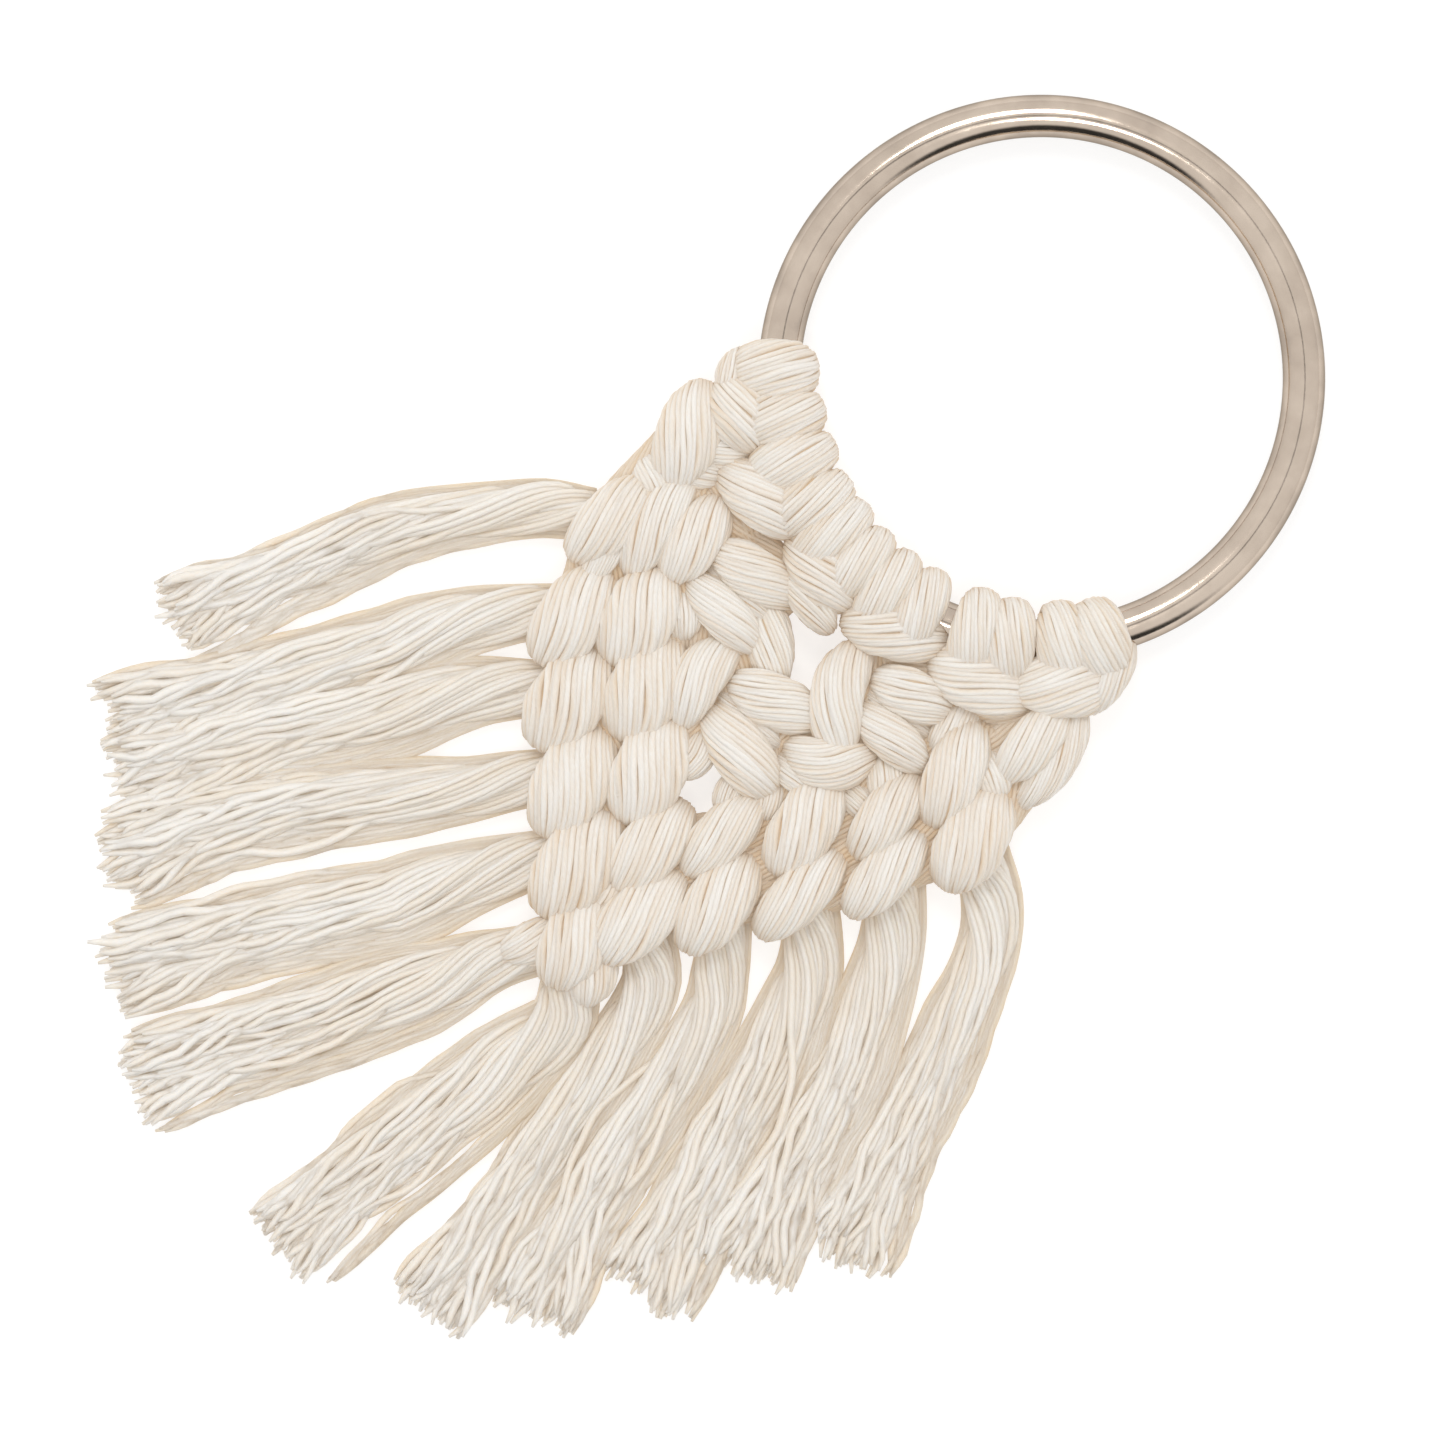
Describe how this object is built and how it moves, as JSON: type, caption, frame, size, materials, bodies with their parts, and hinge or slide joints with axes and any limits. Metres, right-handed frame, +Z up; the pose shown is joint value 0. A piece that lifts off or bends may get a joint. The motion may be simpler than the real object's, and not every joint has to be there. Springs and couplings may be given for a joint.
{
  "type": "macrame ring ornament",
  "caption": "Small cotton macrame fan on a round metal ring: cords hitched to the ring, knotted into a V-shaped panel and combed out into soft tassels; hangs from its ring or lies flat.",
  "frame": {"origin": "under the middle of the whole part's box, on the surface that it lies on", "axes": "+Z up from that surface, +Y towards the free side of the ring, tassels towards -Y, +X to the right seen from above"},
  "size_m": [0.1014, 0.1482, 0.009],
  "materials": {
    "nickel": "polished",
    "knotted_cord": "matte",
    "combed_fringe": "matte"
  },
  "bodies": {
    "ring": {"ring": "nickel"},
    "knotted_panel": {"larks_head_1": "knotted_cord", "larks_head_2": "knotted_cord", "larks_head_3": "knotted_cord", "larks_head_4": "knotted_cord", "larks_head_5": "knotted_cord", "larks_head_6": "knotted_cord", "square_knot_left": "knotted_cord", "square_knot_right": "knotted_cord", "square_knot_centre": "knotted_cord", "closing_knot": "knotted_cord", "edge_loop_left": "knotted_cord", "side_cord_left": "knotted_cord", "outer_hitch_left_1": "knotted_cord", "outer_hitch_left_2": "knotted_cord", "outer_hitch_left_3": "knotted_cord", "outer_hitch_left_4": "knotted_cord", "outer_hitch_left_5": "knotted_cord", "inner_hitch_left_1": "knotted_cord", "inner_hitch_left_2": "knotted_cord", "inner_hitch_left_3": "knotted_cord", "inner_hitch_left_4": "knotted_cord", "inner_hitch_left_5": "knotted_cord", "edge_loop_right": "knotted_cord", "side_cord_right": "knotted_cord", "outer_hitch_right_1": "knotted_cord", "outer_hitch_right_2": "knotted_cord", "outer_hitch_right_3": "knotted_cord", "outer_hitch_right_4": "knotted_cord", "outer_hitch_right_5": "knotted_cord", "inner_hitch_right_1": "knotted_cord", "inner_hitch_right_2": "knotted_cord", "inner_hitch_right_3": "knotted_cord", "inner_hitch_right_4": "knotted_cord"},
    "tassel_left_1": {"tassel_left_1": "combed_fringe"},
    "tassel_left_2": {"tassel_left_2": "combed_fringe"},
    "tassel_left_3": {"tassel_left_3": "combed_fringe"},
    "tassel_left_4": {"tassel_left_4": "combed_fringe"},
    "tassel_left_5": {"tassel_left_5": "combed_fringe"},
    "tassel_left_6": {"tassel_left_6": "combed_fringe"},
    "tassel_right_1": {"tassel_right_1": "combed_fringe"},
    "tassel_right_2": {"tassel_right_2": "combed_fringe"},
    "tassel_right_3": {"tassel_right_3": "combed_fringe"},
    "tassel_right_4": {"tassel_right_4": "combed_fringe"},
    "tassel_right_5": {"tassel_right_5": "combed_fringe"},
    "tassel_right_6": {"tassel_right_6": "combed_fringe"}
  },
  "joints": [
    {"name": "panel_turn", "type": "hinge", "parent": "ring", "child": "knotted_panel", "pos_m": [0.00432, 0.0448, 0.0037], "axis": [0, 0, 1], "continuous": true},
    {"name": "lift_left_1", "type": "hinge", "parent": "knotted_panel", "child": "tassel_left_1", "pos_m": [-0.02688, 0.00161, 0.0017], "axis": [-0.8367, 0.5477, 0], "range_deg": [0, 90]},
    {"name": "lift_left_2", "type": "hinge", "parent": "knotted_panel", "child": "tassel_left_2", "pos_m": [-0.02208, -0.00839, 0.0017], "axis": [-0.8158, 0.5783, 0], "range_deg": [0, 90]},
    {"name": "lift_left_3", "type": "hinge", "parent": "knotted_panel", "child": "tassel_left_3", "pos_m": [-0.01668, -0.01439, 0.0017], "axis": [-0.7994, 0.6008, 0], "range_deg": [0, 90]},
    {"name": "lift_left_4", "type": "hinge", "parent": "knotted_panel", "child": "tassel_left_4", "pos_m": [-0.01068, -0.0219, 0.0017], "axis": [-0.7771, 0.6293, 0], "range_deg": [0, 90]},
    {"name": "lift_left_5", "type": "hinge", "parent": "knotted_panel", "child": "tassel_left_5", "pos_m": [-0.00528, -0.0278, 0.0017], "axis": [-0.8289, 0.5595, 0], "range_deg": [0, 90]},
    {"name": "lift_left_6", "type": "hinge", "parent": "knotted_panel", "child": "tassel_left_6", "pos_m": [-0.00028, -0.0387, 0.0017], "axis": [-0.8759, 0.4825, 0], "range_deg": [0, 90]},
    {"name": "lift_right_1", "type": "hinge", "parent": "knotted_panel", "child": "tassel_right_1", "pos_m": [0.03552, 0.00011, 0.0017], "axis": [-0.9466, -0.3224, 0], "range_deg": [0, 90]},
    {"name": "lift_right_2", "type": "hinge", "parent": "knotted_panel", "child": "tassel_right_2", "pos_m": [0.02972, -0.0089, 0.0017], "axis": [-0.9503, -0.3114, 0], "range_deg": [0, 90]},
    {"name": "lift_right_3", "type": "hinge", "parent": "knotted_panel", "child": "tassel_right_3", "pos_m": [0.02392, -0.01589, 0.0017], "axis": [-0.9719, -0.2353, 0], "range_deg": [0, 90]},
    {"name": "lift_right_4", "type": "hinge", "parent": "knotted_panel", "child": "tassel_right_4", "pos_m": [0.01792, -0.02339, 0.0017], "axis": [-0.981, -0.1942, 0], "range_deg": [0, 90]},
    {"name": "lift_right_5", "type": "hinge", "parent": "knotted_panel", "child": "tassel_right_5", "pos_m": [0.01272, -0.02969, 0.0017], "axis": [-0.9937, -0.1123, 0], "range_deg": [0, 90]},
    {"name": "lift_right_6", "type": "hinge", "parent": "knotted_panel", "child": "tassel_right_6", "pos_m": [0.00722, -0.0387, 0.0017], "axis": [-0.994, 0.1095, 0], "range_deg": [0, 90]}
  ]
}
